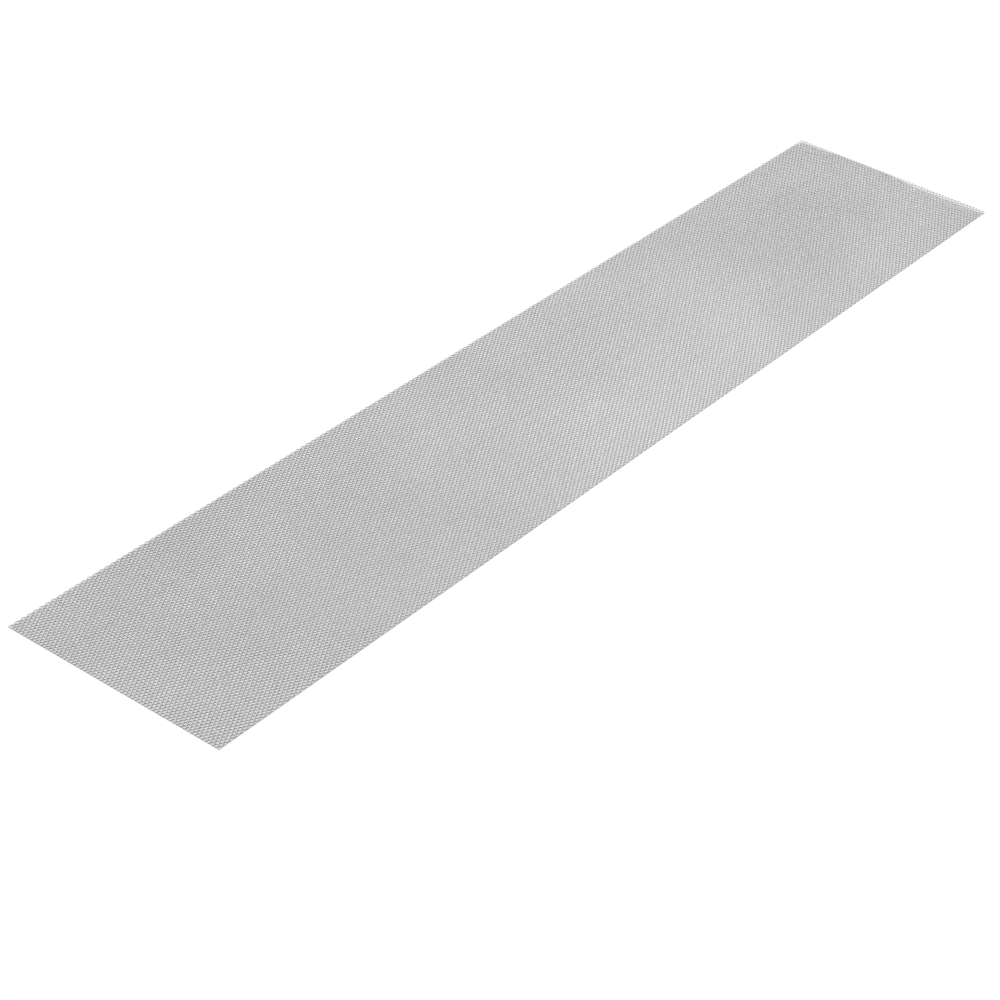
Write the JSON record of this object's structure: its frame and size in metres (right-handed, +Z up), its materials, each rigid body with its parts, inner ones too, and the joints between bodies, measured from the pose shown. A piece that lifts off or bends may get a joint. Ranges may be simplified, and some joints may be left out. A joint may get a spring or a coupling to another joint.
{
  "type": "gutter guard",
  "caption": "Flat rectangular sheet of fine expanded aluminium diamond mesh that lies over a roof gutter, lets rain through and keeps leaves out.",
  "frame": {"origin": "under the middle of the sheet, on the surface that it lies on", "axes": "+X along the sheet, +Y across it, towards the edge that goes under the roofing, +Z up"},
  "size_m": [0.9144, 0.1778, 0.0008],
  "materials": {
    "mill_aluminium": "bare mill finish, matt"
  },
  "bodies": {
    "root": {"rising_strands": "mill_aluminium", "falling_strands": "mill_aluminium"}
  },
  "joints": []
}
